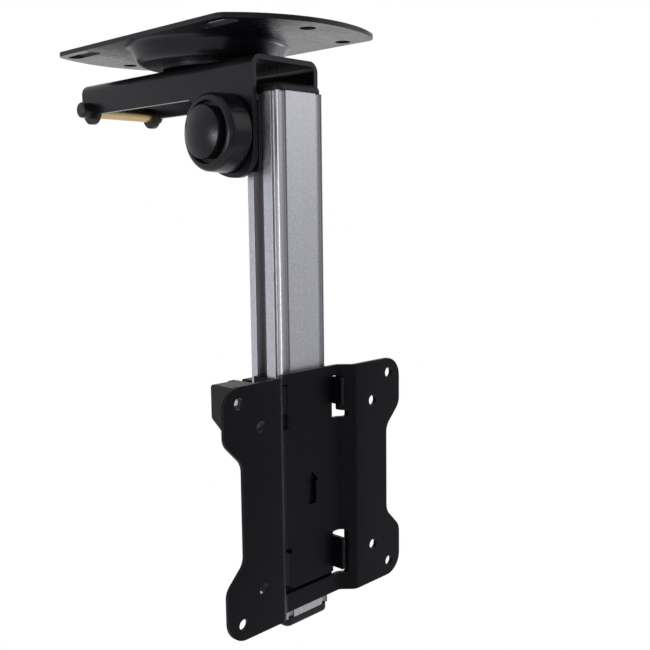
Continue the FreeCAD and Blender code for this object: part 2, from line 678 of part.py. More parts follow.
def slot_nut(length, z, gap):
    """Bar in the chamber of the right slot, behind its lips."""
    lip = COLUMN_W / 2 - TSLOT_LIP - gap
    half = TSLOT_INNER_W / 2 - NUT_GAP
    return box(lip - SLOT_NUT_T, lip, TSLOT_Y - half, TSLOT_Y + half, z - length / 2, z + length / 2)


def hinge_yoke():
    """Folded yoke round the column's back: a cheek on each slot and a bridge below the bolt."""
    top, foot = PIVOT_Z + YOKE_TOP, PIVOT_Z - YOKE_FOOT
    front, rear = TSLOT_Y - YOKE_FRONT, PIVOT_Y + YOKE_REAR_R
    side = [
        (front, foot, YOKE_FRONT_R),
        (rear, foot, YOKE_REAR_R),
        (rear, top, YOKE_REAR_R),
        (front, top, YOKE_FRONT_R),
    ]
    cheek = prism(side, in_yz(YOKE_IN), V(YOKE_T, 0, 0))
    bridge_y = COLUMN_BACK + YOKE_GAP
    bridge = box(-YOKE_IN, YOKE_IN, bridge_y, bridge_y + YOKE_T, foot, foot + YOKE_BRIDGE_H)
    cuts = [cross_rod(PIVOT, -YOKE_OUT, YOKE_OUT, PIVOT_D / 2 + YOKE_BUSH_WALL)]
    for z in YOKE_SCREW_HEIGHTS.values():
        cuts += both_sides(countersunk_screw(z, 0))
    return fuse(both_sides(cheek) + [bridge]).cut(cuts)


def yoke_fasteners():
    """Bushes in the yoke's cheeks, countersunk screws and their slot nuts."""
    tip = COLUMN_W / 2 - TSLOT_LIP - SLOT_NUT_T
    nodes = {}
    nut = slot_nut(YOKE_NUT_L, sum(YOKE_SCREW_HEIGHTS.values()) / 2, 0)
    for level, z in YOKE_SCREW_HEIGHTS.items():
        nodes.update(pair("hinge_screw_" + level, countersunk_screw(z, tip)))
        nut = nut.cut(cross_rod(V(0, TSLOT_Y, z), 0, YOKE_OUT, YOKE_SCREW_D / 2))
    nodes.update(pair("hinge_slot_nut", nut))
    radius = PIVOT_D / 2
    bush = cross_ring(PIVOT, YOKE_IN, YOKE_OUT, radius + YOKE_BUSH_WALL, radius + TURN_FIT)
    nodes.update(pair("hinge_bush", bush))
    return nodes


def screen_outline():
    """Corners of the screen plate from the front: four lobes and a waist, about its centre."""
    slope_z = SCREEN_HALF_H - SCREEN_LOBE_H
    upper = [
        (SCREEN_HALF_W - SCREEN_WAIST_DEPTH, slope_z - SCREEN_SLOPE_H, SCREEN_SLOPE_R),
        (SCREEN_HALF_W, slope_z, SCREEN_SLOPE_R),
        (SCREEN_HALF_W, SCREEN_HALF_H, SCREEN_CORNER_R),
    ]
    right = [(x, -z, r) for x, z, r in reversed(upper)] + upper
    return right + [(-x, z, r) for x, z, r in reversed(right)]


def hook_slot():
    """Corners of the right boot-shaped slot across the recess's bend, about the plate's centre."""
    inner = COLUMN_W / 2
    outer = inner + HOOK_SLOT_W
    toe = outer + HOOK_TOE_W
    toe_top = HOOK_SLOT_LOW + HOOK_TOE_H
    sole = [(inner, HOOK_SLOT_LOW), (toe, HOOK_SLOT_LOW), (toe, toe_top), (outer, toe_top)]
    leg = [(outer, HOOK_SLOT_HIGH), (inner, HOOK_SLOT_HIGH)]
    return [(x, z, CUT_ROUND) for x, z in sole + leg]


def arrow():
    """Corners of the arrow-shaped hole, about the plate's centre."""
    stem, head = ARROW_STEM_W / 2, ARROW_HEAD_W / 2
    neck = ARROW_TIP - ARROW_HEAD_H
    right = [(stem, -ARROW_TAIL), (stem, neck), (head, neck)]
    left = [(-x, z) for x, z in reversed(right)]
    return [(x, z, 0) for x, z in right + [(0, ARROW_TIP)] + left]


def screen_plate():
    """Top-hat sheet with waisted wings, screen holes, hook slots, windows and an arrow."""
    mouth = RECESS_FLOOR_HALF + RECESS_SLOPE
    right = [(RECESS_FLOOR_HALF, SCREEN_FLOOR), (mouth, SCREEN_FRONT), (SCREEN_HALF_W, SCREEN_FRONT)]
    path = [(-x, y) for x, y in reversed(right)] + right
    section = folded_section(path, SCREEN_T, SCREEN_BEND_R)
    sheet = prism(section, in_xy(VESA_Z - SCREEN_HALF_H), V(0, 0, 2 * SCREEN_HALF_H))
    through = V(0, CARRIER_FRONT - SCREEN_FRONT, 0)
    at = facing(V(0, SCREEN_FRONT, VESA_Z))
    cuts = []
    for spacing in (VESA_LARGE, VESA_SMALL):
        for x in (-spacing / 2, spacing / 2):
            for z in (-spacing / 2, spacing / 2):
                cuts.append(rod(at(x, z), Y_AXIS, VESA_HOLE_D / 2, through.y))
    inner, outer = CHEEK_IN - WINDOW_GAP, CHEEK_OUT + WINDOW_SIDE
    window = rectangle(inner, outer, WINDOW_LOW, WINDOW_HIGH, CUT_ROUND)
    cuts.append(prism(arrow(), at, through))
    for corners in (window, hook_slot()):
        cuts += both_sides(prism(corners, at, through))
    return sheet.common(prism(screen_outline(), at, through)).cut(cuts)


def carrier():
    """Folded carriage round the column's front: tabs above and tabs in the windows below."""
    foot = VESA_Z + CARRIER_FOOT
    rear = CARRIER_FRONT + CARRIER_CHEEK_D
    right = [(CHEEK_OUT, CARRIER_FRONT), (CHEEK_OUT, rear)]
    path = [(-x, y) for x, y in reversed(right)] + right
    section = folded_section(path, CARRIER_T, CARRIER_BEND_R)
    pieces = [prism(section, in_xy(foot), V(0, 0, CARRIER_TOP - CARRIER_FOOT))]
    root = CARRIER_BACK + CARRIER_T
    for high, length in ((UPPER_TAB_HIGH, UPPER_TAB_L), (LOWER_TAB_HIGH, LOWER_TAB_L)):
        tab_z = VESA_Z + high
        for x, side in ((-CHEEK_OUT, "left"), (CHEEK_IN, "right")):
            tip = CARRIER_FRONT - TAB_REACH[side]
            pieces.append(box(x, x + CARRIER_T, tip, root, tab_z - length, tab_z))
    centres = [V(0, TSLOT_Y, z) for z in CLAMP_SCREW_HEIGHTS.values()]
    return fuse(pieces).cut([cross_rod(c, -CHEEK_OUT, CHEEK_OUT, CLAMP_SCREW_D / 2) for c in centres])


def carriage_fasteners():
    """Button-headed clamp screws through the carriage's cheeks and their slot nuts."""
    radius, head_r = CLAMP_SCREW_D / 2, CLAMP_HEAD_D / 2
    crown = CHEEK_OUT + CLAMP_HEAD_H
    tip = COLUMN_W / 2 - TSLOT_LIP - NUT_GAP - SLOT_NUT_T
    profile = [(CHEEK_OUT, 0, 0), (crown, 0, 0), (crown, head_r, CLAMP_HEAD_ROUND), (CHEEK_OUT, head_r, 0)]
    nodes = {}
    for level, z in CLAMP_SCREW_HEIGHTS.items():
        centre = V(0, TSLOT_Y, z)
        head = turned(profile, beside(centre), centre, X_AXIS)
        socket = hexagon(CLAMP_SOCKET_AF, across(centre, crown - CLAMP_SOCKET_H), V(CLAMP_SOCKET_H, 0, 0))
        screw = fuse([head, cross_rod(centre, tip, CHEEK_OUT, radius)]).cut(socket)
        nut = slot_nut(CLAMP_NUT_L, z, NUT_GAP).cut(cross_rod(centre, 0, COLUMN_W, radius))
        nodes.update(pair("clamp_screw_" + level, screw))
        nodes.update(pair("clamp_slot_nut_" + level, nut))
    return nodes


def latch_housing():
    """Moulded housing on the column's back, chamfered below, slotted for the pawl."""
    side = [
        (COLUMN_BACK, LATCH_FOOT, 0),
        (LATCH_BACK - LATCH_CHAMFER_Y, LATCH_FOOT, LATCH_EDGE_R),
        (LATCH_BACK, LATCH_FOOT + LATCH_CHAMFER_Z, LATCH_EDGE_R),
        (LATCH_BACK, LATCH_TOP, LATCH_EDGE_R),
        (COLUMN_BACK, LATCH_TOP, 0),
    ]
    slot = PAWL_T / 2 + PAWL_GAP
    cuts = [
        box(-slot, slot, COLUMN_BACK + LATCH_WALL, LATCH_BACK, LATCH_FOOT, LATCH_TOP),
        cross_rod(PIN, -LATCH_HALF_W, LATCH_HALF_W, PAWL_PIN_D / 2),
    ]
    for x in (-LATCH_SCREW_X, LATCH_SCREW_X):
        cuts.append(rod(V(x, COLUMN_BACK, LATCH_SCREW_Z), Y_AXIS, LATCH_SCREW_D / 2, LATCH_D))
        sink = V(x, COLUMN_BACK + LATCH_FLOOR, LATCH_SCREW_Z)
        cuts.append(rod(sink, Y_AXIS, LATCH_HEAD_D / 2 + HEAD_GAP, LATCH_D))
    return prism(side, in_yz(-LATCH_HALF_W), V(2 * LATCH_HALF_W, 0, 0)).cut(cuts)


def latch_pawl():
    """Plate hook on the pin, hanging open: shank under the bar, tooth over it, trigger below."""
    near = FOLDED_BAR_Y + BAR_D / 2 + PAWL_BAR_GAP
    far = near + PAWL_TOOTH_T
    top = FOLDED_BAR_Z - BAR_D / 2 - PAWL_BAR_GAP
    foot = top - PAWL_SHANK_H
    tip = FOLDED_BAR_Z + PAWL_TOOTH_RISE
    hook = [
        (PIN_Y, foot, 0),
        (far, foot, PAWL_HEEL_R),
        (far, tip - PAWL_TOOTH_T, PAWL_TIP_R),
        (near, tip, PAWL_TIP_R),
        (near, top, PAWL_TIP_R),
        (PIN_Y, top, 0),
    ]
    trigger_y = PIN_Y + PAWL_EYE_R - PAWL_TRIGGER_T
    trigger = rectangle(trigger_y, trigger_y + PAWL_TRIGGER_T, PIN_Z - PAWL_TRIGGER_L, PIN_Z)
    half = PAWL_T / 2
    plates = [prism(corners, in_yz(-half), V(PAWL_T, 0, 0)) for corners in (hook, trigger)]
    closed = fuse(plates + [cross_rod(PIN, -half, half, PAWL_EYE_R)])
    closed = closed.cut(cross_rod(PIN, -half, half, PAWL_PIN_D / 2 + TURN_FIT))
    return closed.rotated(PIN, X_AXIS, -PAWL_OPEN)


def latch_pieces():
    """Housing, pawl, pin and the two screws into the column."""
    nodes = {
        "latch_housing": latch_housing(),
        "latch_pawl": latch_pawl(),
        "latch_pin": cross_rod(PIN, -LATCH_HALF_W, LATCH_HALF_W, PAWL_PIN_D / 2),
    }
    seat = COLUMN_BACK + LATCH_FLOOR
    head = rod(V(LATCH_SCREW_X, seat, LATCH_SCREW_Z), Y_AXIS, LATCH_HEAD_D / 2, LATCH_HEAD_H)
    start = V(LATCH_SCREW_X, COLUMN_BACK - LATCH_THREAD, LATCH_SCREW_Z)
    shank = rod(start, Y_AXIS, LATCH_SCREW_D / 2, LATCH_THREAD + LATCH_FLOOR)
    top = V(LATCH_SCREW_X, seat + LATCH_HEAD_H, LATCH_SCREW_Z)
    socket = hexagon(LATCH_SOCKET_AF, facing(top), V(0, -LATCH_SOCKET_H, 0))
    nodes.update(pair("latch_screw", fuse([head, shank]).cut(socket)))
    return nodes


def build():
    """Every piece of the bracket by name."""
    nodes = {
        "ceiling_plate": ceiling_plate(),
        "hinge_bracket": hinge_bracket(),
        "column": column(),
        "column_top_cap": end_cap("top", COLUMN_TOP, 1),
        "column_bottom_cap": end_cap("bottom", COLUMN_FOOT, -1),
        "hinge_yoke": hinge_yoke(),
        "screen_plate": screen_plate(),
        "carrier": carrier(),
    }
    for group in (swivel_pieces, latch_bar_pieces, pivot_pieces, knob_pieces, yoke_fasteners,
                  carriage_fasteners, latch_pieces):
        nodes.update(group())
    return nodes


os.makedirs("parts", exist_ok=True)
for name, shape in build().items():
    shape.exportStep(os.path.join("parts", name + ".step"))
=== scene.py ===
"""Finishes and stage of a fold-down ceiling bracket for a small flat screen.

The rigid pieces come from model.glb, at their places. This file gives each of them its finish, makes the
swivel's bolt and split washer as worked-out surfaces, opens the narrow gap in the screen plate's recess,
and sets a plain white stage around them.
"""

import math

import bmesh
import bpy
import numpy as np
from bpy.props import FloatProperty, FloatVectorProperty, IntProperty, PointerProperty
from mathutils import Matrix, Vector


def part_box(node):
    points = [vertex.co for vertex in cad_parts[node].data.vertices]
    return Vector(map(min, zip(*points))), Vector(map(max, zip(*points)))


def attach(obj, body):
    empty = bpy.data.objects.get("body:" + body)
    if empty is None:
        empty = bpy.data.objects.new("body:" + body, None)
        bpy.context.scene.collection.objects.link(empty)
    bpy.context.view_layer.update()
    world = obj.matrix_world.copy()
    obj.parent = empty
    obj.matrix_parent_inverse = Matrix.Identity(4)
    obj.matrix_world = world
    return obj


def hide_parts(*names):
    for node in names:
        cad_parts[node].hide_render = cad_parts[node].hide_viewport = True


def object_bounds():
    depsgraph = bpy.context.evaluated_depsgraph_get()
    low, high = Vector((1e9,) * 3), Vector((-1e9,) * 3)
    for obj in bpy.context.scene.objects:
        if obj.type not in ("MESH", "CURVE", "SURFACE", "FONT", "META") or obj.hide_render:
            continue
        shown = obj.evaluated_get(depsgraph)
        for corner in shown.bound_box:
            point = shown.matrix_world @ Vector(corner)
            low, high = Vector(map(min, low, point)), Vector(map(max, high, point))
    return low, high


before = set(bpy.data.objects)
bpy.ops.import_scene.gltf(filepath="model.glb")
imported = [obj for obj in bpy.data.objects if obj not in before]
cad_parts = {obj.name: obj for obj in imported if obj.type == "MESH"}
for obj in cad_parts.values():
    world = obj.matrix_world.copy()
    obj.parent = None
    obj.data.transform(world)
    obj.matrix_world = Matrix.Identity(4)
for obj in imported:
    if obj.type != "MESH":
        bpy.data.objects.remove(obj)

CAD_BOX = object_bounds()

bl_info = {
    "name": "Fold-down bracket finishes",
    "version": (1, 0, 0),
    "blender": (4, 5, 0),
    "location": "View3D > Sidebar > Bracket",
    "description": "Finishes, swivel fasteners, recess gap and stage for a fold-down ceiling bracket",
    "category": "Object",
}

# Which finish each rigid piece takes
COATED_SHEET = ("screen_plate", "carrier")
PAINTED_SHEET = ("ceiling_plate", "hinge_bracket", "hinge_yoke")
MOULDINGS = ("column_top_cap", "column_bottom_cap", "latch_housing")
KNOB_PIECES = ("tension_knob", "knob_cap")
NYLON_PIECES = (
    "swivel_bush", "swivel_washer", "hinge_bush_left", "hinge_bush_right",
    "friction_washer_left", "friction_washer_right",
)
DARK_ZINC_PIECES = ("swivel_disc", "latch_pawl")
ZINC_PIECES = (
    "knob_washer", "latch_pin", "hinge_slot_nut_left", "hinge_slot_nut_right",
    "clamp_slot_nut_upper_left", "clamp_slot_nut_upper_right",
    "clamp_slot_nut_lower_left", "clamp_slot_nut_lower_right",
)
BLACKENED_PIECES = (
    "swivel_nut", "pivot_bolt", "latch_bar_screw", "latch_bar_nut", "latch_screw_left", "latch_screw_right",
    "hinge_screw_upper_left", "hinge_screw_upper_right",
    "hinge_screw_lower_left", "hinge_screw_lower_right",
    "clamp_screw_upper_left", "clamp_screw_upper_right",
    "clamp_screw_lower_left", "clamp_screw_lower_right",
)

# Grain of each finish: how fine its noise is, and its height in metres
COAT_GRAIN = (1700.0, 0.000020)
PAINT_GRAIN = (1100.0, 0.000014)
SILVER_GRAIN = (3600.0, 0.000012)
MOULDING_GRAIN = (1900.0, 0.000022)
KNOB_GRAIN = (2600.0, 0.000010)
NYLON_GRAIN = (1500.0, 0.000015)
PLATING_GRAIN = (2400.0, 0.000003)
OXIDE_GRAIN = (2200.0, 0.000008)

# How fine the clouds of each finish are
SPRAY_CLOUDS = 26.0
MOULDING_CLOUDS = 60.0
PLATING_CLOUDS = 110.0
PASSIVATE_CLOUDS = 30.0
OXIDE_CLOUDS = 140.0

# Rubbed edges: how fine their breaks are, and the noise and the bend between which rubbing sets in
EDGE_BREAKS = 260.0
EDGE_BREAK_SPAN = (0.42, 0.62)
EDGE_BEND_SPAN = (0.06, 0.26)

# Noise values that are spread over a full range, and scale of the grain's slow tone as a share of its own
NOISE_SPAN = (0.3, 0.7)
SLOW_GRAIN = 0.3

# Lines left by the die: stretch along the column, and how fine the narrow and wide ones are
DIE_STRETCH = (1.0, 1.0, 0.004)
DIE_NARROW = 2600.0
DIE_WIDE = 420.0

# Painted shade in grooves and slots: share of open sky in a deep groove, where the shade is full, and on an
# open face, where it is gone, and how far a point of each finish looks for open sky
OPEN_SKY_SPAN = (0.25, 0.95)
SILVER_SHADE_REACH = 0.006
PLATING_SHADE_REACH = 0.003

# Bends that stay sharp on the made pieces, and lengths below which points and edges are one
PLATE_SHARP = math.radians(30)
BOLT_SHARP = math.radians(32)
WASHER_SHARP = math.radians(40)
SAME_POINT = 1e-7
NO_LENGTH = 1e-8

# How far the gap's cut reaches past the recess's floor, and depths on the bolt's head where its rows lie
GAP_REACH = 0.003
HEAD_ROWS = (0.0, 0.0, 0.0003, 0.0006, 0.0010)

# Picture and camera
PHOTO_SIDE = 650
SENSOR_MM = 36.0
NEAREST_VIEW = 0.01

# Room: its dark side and its backdrop, the cosines over which each fades, its levels and its tint
DARK_SIDE = (-0.40, -0.85, -0.40)
DARK_SPAN = (-0.4, 0.9)
BACKDROP_SIDE = (0.72, 0.69, 0.0)
BACKDROP_SPAN = (0.70, 0.94)
ROOM_LIGHT = 0.66
ROOM_DARK = 0.34
ROOM_TINT = (0.975, 0.97, 1.05)
WHITE = (1.0, 1.0, 1.0, 1.0)

# Floor: shares of its half side over which it fades, white at its middle, and white in reflections
FLOOR_FADE = (0.2, 0.95)
FLOOR_WHITE = 0.55
FLOOR_MIRRORED = 0.4
FLOOR_ROUGHNESS = 0.9

# Soft boxes: name, place, power in watts, side in metres and colour
LAMPS = (
    ("left_box", (-1.32, 0.04, -0.20), 4.6, 0.40, (0.95, 0.97, 1.0)),
    ("right_box", (1.15, -0.12, -0.36), 0.8, 0.80, (0.88, 0.92, 1.0)),
    ("top_box", (0.90, -0.90, 0.66), 3.8, 1.30, (1.0, 1.0, 1.0)),
    ("low_box", (1.12, 0.02, -0.50), 2.2, 0.30, (0.84, 0.89, 1.0)),
    ("front_box", (-0.80, -1.00, -0.10), 0.5, 0.20, (1.0, 1.0, 1.0)),
)


def colour_property(name, description, default):
    return FloatVectorProperty(
        name=name, description=description, default=default, size=3, min=0.0, max=1.0, subtype="COLOR"
    )


def length_property(name, description, default):
    return FloatProperty(name=name, description=description, default=default, min=0.0, unit="LENGTH")


def share_property(name, description, default):
    return FloatProperty(
        name=name, description=description, default=default, min=0.0, max=1.0, subtype="FACTOR"
    )


def angle_property(name, description, degrees):
    return FloatProperty(name=name, description=description, default=math.radians(degrees), subtype="ANGLE")


class BracketFinish(bpy.types.PropertyGroup):
    """Colours and surface sizes of the finishes"""

    coat_colour: colour_property("Coat", "Black powder coat of the screen plate", (0.0040, 0.0040, 0.0058))
    coat_roughness: share_property("Coat roughness", "How matt the powder coat is", 0.40)
    coat_shine: share_property("Coat reflection", "Strength of the powder coat's reflection", 0.13)
    paint_colour: colour_property("Paint", "Black paint of the ceiling plate", (0.0060, 0.0060, 0.0080))
    paint_roughness: share_property("Paint roughness", "How matt the paint is", 0.29)
    paint_shine: share_property("Paint reflection", "Strength of the reflection of paint and plastic", 0.32)
    silver_colour: colour_property("Silver", "Anodised column", (0.650, 0.650, 0.676))
    silver_roughness: share_property("Silver roughness", "How matt the anodised column is", 0.40)
    plastic_colour: colour_property("Plastic", "Black mouldings", (0.0070, 0.0070, 0.0082))
    plastic_roughness: share_property("Plastic roughness", "How matt the caps and the housing are", 0.48)
    knob_roughness: share_property("Knob roughness", "How matt the knob and its cap are", 0.28)
    nylon_colour: colour_property("Nylon", "Black bushes and washers", (0.02, 0.02, 0.02))
    nylon_roughness: share_property("Nylon roughness", "How matt the bushes and washers are", 0.58)
    zinc_colour: colour_property("Zinc", "Bright plated steel", (0.68, 0.69, 0.71))
    dark_zinc_colour: colour_property("Dark zinc", "Blackened plated steel", (0.045, 0.045, 0.048))
    passivate_colour: colour_property("Yellow zinc", "Passivated latch bar", (0.60, 0.44, 0.20))
    passivate_tint: colour_property("Pale yellow zinc", "Clouds on the latch bar", (0.64, 0.51, 0.29))
    blackened_colour: colour_property("Blackened steel", "Oiled black screws", (0.035, 0.035, 0.038))
    blackened_roughness: share_property("Blackened roughness", "How matt the black screws are", 0.37)
    brass_colour: colour_property("Brass", "Threaded insert of the knob", (0.80, 0.58, 0.27))
    edge_radius: length_property("Edge radius", "Rounding that the light sees on an edge", 0.00035)
    edge_wear: share_property("Edge wear", "How much of the edges is rubbed", 0.35)


class BracketSwivel(bpy.types.PropertyGroup):
    """Sizes of the swivel's bolt and split washer"""

    shank_radius: length_property("Shank radius", "Round part of the bolt", 0.006)
    head_height: length_property("Head height", "Hexagon head of the bolt", 0.006)
    head_rim: length_property("Head rim", "Flat top of the head to the middle of a side", 0.0004)
    thread_pitch: length_property("Thread pitch", "Advance of the thread in one turn", 0.00175)
    thread_depth: length_property("Thread depth", "Crest to root of the thread", 0.0009)
    thread_length: length_property("Thread length", "Threaded end of the bolt", 0.010)
    thread_end: length_property("Thread end", "Tapered end below the thread", 0.0004)
    thread_rows: IntProperty(name="Thread rows", description="Rows along the thread", default=160, min=16)
    washer_clearance: length_property("Washer clearance", "Shank of the bolt to the washer", 0.00005)
    washer_split: length_property("Washer split", "Gap between the ends of the split washer", 0.0016)
    washer_chamfer: length_property("Washer chamfer", "Cut corners of the washer's section", 0.00025)
    washer_climb: share_property("Washer climb", "Rise over the turn, as a share of the thickness", 0.12)
    washer_slant: share_property("Washer slant", "Slant of the split, as a share of the height", 0.5)
    turn_steps: IntProperty(name="Steps", description="Columns round a full turn", default=96, min=24)


class BracketScreen(bpy.types.PropertyGroup):
    """Sizes of the gap along the foot of the screen plate's recess"""

    strip_height: length_property("Strip height", "Strip of the recess below the gap", 0.009)
    gap_height: length_property("Gap height", "Open height of the gap", 0.002)
    panel_half_width: length_property("Panel half width", "Middle of the recess to a window", 0.0143)


class BracketStage(bpy.types.PropertyGroup):
    """Camera and floor"""

    azimuth: angle_property("Azimuth", "Camera turned about the vertical", -46.03)
    elevation: angle_property("Elevation", "Camera tilted down", 7.30)
    roll: angle_property("Roll", "Camera turned about its view", -0.66)
    place: FloatVectorProperty(
        name="Place", description="Camera position", default=(-0.2937, -0.36206, -0.0839),
        subtype="TRANSLATION",
    )
    view_pixels: FloatProperty(
        name="View distance", description="Focal length in pixels of the square picture", default=889.74
    )
    floor_drop: length_property("Floor drop", "Floor below the lowest piece", 0.80)
    floor_size: length_property("Floor size", "Side of the square floor", 2.6)
    floor_colour: colour_property("Floor", "Pale floor", (0.9, 0.9, 0.9))


def finish():
    return bpy.context.scene.bracket_finish


def add(tree, kind, sockets=None, **settings):
    """New node with its settings, each named socket set to a value or joined to another node's output."""
    node = tree.nodes.new(kind)
    for name, value in settings.items():
        setattr(node, name, value)
    for name, value in (sockets or {}).items():
        if isinstance(value, bpy.types.NodeSocket):
            tree.links.new(value, node.inputs[name])
        else:
            node.inputs[name].default_value = value
    return node


def calculate(tree, operation, first, second):
    """Output of one arithmetic step."""
    return add(tree, "ShaderNodeMath", {0: first, 1: second}, operation=operation).outputs[0]


def cosine(tree, first, second):
    """Cosine between two unit vectors."""
    node = add(tree, "ShaderNodeVectorMath", {0: first, 1: second}, operation="DOT_PRODUCT")
    return node.outputs["Value"]


def spread(tree, value, low, high, to_low=0.0, to_high=1.0):
    """Output that carries a value from one range to another and stays inside it."""
    sockets = {"Value": value, "From Min": low, "From Max": high, "To Min": to_low, "To Max": to_high}
    return add(tree, "ShaderNodeMapRange", sockets).outputs["Result"]


def uneven(tree, value, middle, below, above):
    """Output that swings about a middle while a value goes from none to full."""
    return spread(tree, value, 0.0, 1.0, middle - below, middle + above)


def blend_colours(tree, share, first, second):
    """Colour between two others."""
    node = add(tree, "ShaderNodeMix", {0: share, 6: first, 7: second}, data_type="RGBA")
    return node.outputs[2]


def object_place(tree):
    """Place on the piece, in metres."""
    return add(tree, "ShaderNodeTexCoord").outputs["Object"]


def scaled_place(tree, scale):
    """Place on the piece, stretched by three factors."""
    return add(tree, "ShaderNodeMapping", {"Vector": object_place(tree), "Scale": scale}).outputs["Vector"]


def noise(tree, vector, scale, detail=2.0, roughness=0.5):
    sockets = {"Vector": vector, "Scale": scale, "Detail": detail, "Roughness": roughness}
    return add(tree, "ShaderNodeTexNoise", sockets).outputs["Fac"]


def shader_group(name, inputs, outputs):
    """Empty shader group with its named sockets, and the sockets of its two ends."""
    tree = bpy.data.node_groups.new(name, "ShaderNodeTree")
    for label in inputs:
        tree.interface.new_socket(label, in_out="INPUT", socket_type="NodeSocketFloat")
    for label, kind in outputs.items():
        tree.interface.new_socket(label, in_out="OUTPUT", socket_type=kind)
    return tree, tree.nodes.new("NodeGroupInput").outputs, tree.nodes.new("NodeGroupOutput").inputs


def edge_group():
    """Rounded edges: a normal averaged over a small radius, and a mask of the edges, broken up by noise."""
    outputs = {"Mask": "NodeSocketFloat", "Normal": "NodeSocketVector"}
    tree, given, result = shader_group("rubbed_edges", ("Radius", "Wear"), outputs)
    rounded = add(tree, "ShaderNodeBevel", {"Radius": given["Radius"]}, samples=6).outputs["Normal"]
    flat = add(tree, "ShaderNodeNewGeometry").outputs["Normal"]
    bend = calculate(tree, "SUBTRACT", 1.0, cosine(tree, rounded, flat))
    breaks = noise(tree, object_place(tree), EDGE_BREAKS, detail=3.0, roughness=0.6)
    broken = spread(tree, breaks, *EDGE_BREAK_SPAN)
    rubbed = calculate(tree, "MULTIPLY", spread(tree, bend, *EDGE_BEND_SPAN), broken)
    tree.links.new(calculate(tree, "MULTIPLY", rubbed, given["Wear"]), result["Mask"])
    tree.links.new(rounded, result["Normal"])
    return tree


def grain_group():
    """Even grain of a sprayed, blasted or moulded surface: a height and a slower tone, both from noise."""
    outputs = {"Height": "NodeSocketFloat", "Tone": "NodeSocketFloat"}
    tree, given, result = shader_group("even_grain", ("Scale",), outputs)
    place = object_place(tree)
    slow = calculate(tree, "MULTIPLY", given["Scale"], SLOW_GRAIN)
    tree.links.new(noise(tree, place, given["Scale"], roughness=0.6), result["Height"])
    tree.links.new(spread(tree, noise(tree, place, slow), *NOISE_SPAN), result["Tone"])
    return tree


def smudge_group():
    """Slow cloudy change over a surface, from handling and uneven spraying."""
    tree, given, result = shader_group("smudges", ("Scale",), {"Value": "NodeSocketFloat"})
    clouds = noise(tree, object_place(tree), given["Scale"], detail=4.0, roughness=0.55)
    tree.links.new(spread(tree, clouds, *NOISE_SPAN), result["Value"])
    return tree


def drawn_group():
    """Fine lines along Z left by the die: noise squeezed across and stretched along."""
    outputs = {"Height": "NodeSocketFloat", "Tone": "NodeSocketFloat"}
    tree, _, result = shader_group("drawn_lines", (), outputs)
    place = scaled_place(tree, DIE_STRETCH)
    tree.links.new(noise(tree, place, DIE_NARROW), result["Height"])
    tree.links.new(spread(tree, noise(tree, place, DIE_WIDE), *NOISE_SPAN), result["Tone"])
    return tree


def shade_in_grooves_group():
    """Painted shade of grooves and slots: a mask of how much of the sky a point has lost, within a reach,
    that darkens the colour.
    """
    tree, given, result = shader_group("shade_in_grooves", ("Reach",), {"Mask": "NodeSocketFloat"})
    sockets = {"Distance": given["Reach"]}
    open_sky = add(tree, "ShaderNodeAmbientOcclusion", sockets, samples=8, only_local=True).outputs["AO"]
    tree.links.new(spread(tree, open_sky, *OPEN_SKY_SPAN, 1.0, 0.0), result["Mask"])
    return tree


GROUP_MAKERS = {
    "rubbed_edges": edge_group,
    "even_grain": grain_group,
    "smudges": smudge_group,
    "drawn_lines": drawn_group,
    "shade_in_grooves": shade_in_grooves_group,
}


def effect(tree, name, **values):
    """Outputs of a shared effect placed in a material with its own values."""
    group = bpy.data.node_groups.get(name) or GROUP_MAKERS[name]()
    return add(tree, "ShaderNodeGroup", values, node_tree=group).outputs


def rubbed_edges(tree, radius=1.0, wear=1.0):
    """Outputs of the rubbed edges, with the common radius and wear each times a factor."""
    look = finish()
    return effect(tree, "rubbed_edges", Radius=look.edge_radius * radius, Wear=look.edge_wear * wear)


def new_material(name):
    """Material with an empty Principled shader."""
    material = bpy.data.materials.new(name)
    material.use_nodes = True
    tree = material.node_tree
    return material, tree, tree.nodes["Principled BSDF"]


def tinted(colour, factors):
    """Opaque colour with each channel times its factor."""
    return (*(channel * factor for channel, factor in zip(colour, factors)), 1.0)


def shade(colour, factor):
    """Opaque colour made lighter or darker by a factor."""
    return tinted(colour, (factor, factor, factor))


def raised(tree, height, distance, normal):
    """Normal roughened by a height."""
    sockets = {"Height": height, "Distance": distance, "Strength": 1.0, "Normal": normal}
    return add(tree, "ShaderNodeBump", sockets).outputs["Normal"]


def fill(tree, shader, colour, roughness, normal):
    """Joins the three channels that change over a surface."""
    tree.links.new(colour, shader.inputs["Base Color"])
    tree.links.new(roughness, shader.inputs["Roughness"])
    tree.links.new(normal, shader.inputs["Normal"])


def sprayed_black(name, colour, roughness, shine, grain_size):
    """Black paint or powder coat: fine orange peel, cloudy gloss, greyer where the edges are rubbed."""
    dark, light, bare = 0.78, 1.25, 6.0
    scale, height = grain_size
    material, tree, shader = new_material(name)
    edges = rubbed_edges(tree)
    grain = effect(tree, "even_grain", Scale=scale)
    cloud = effect(tree, "smudges", Scale=SPRAY_CLOUDS)["Value"]
    body = blend_colours(tree, grain["Tone"], shade(colour, dark), shade(colour, light))
    body = blend_colours(tree, edges["Mask"], body, shade(colour, bare))
    speckle = uneven(tree, grain["Tone"], 0.0, below=0.03, above=0.03)
    gloss = calculate(tree, "ADD", uneven(tree, cloud, roughness, below=0.04, above=0.04), speckle)
    shader.inputs["Specular IOR Level"].default_value = shine
    fill(tree, shader, body, gloss, raised(tree, grain["Height"], height, edges["Normal"]))
    return material


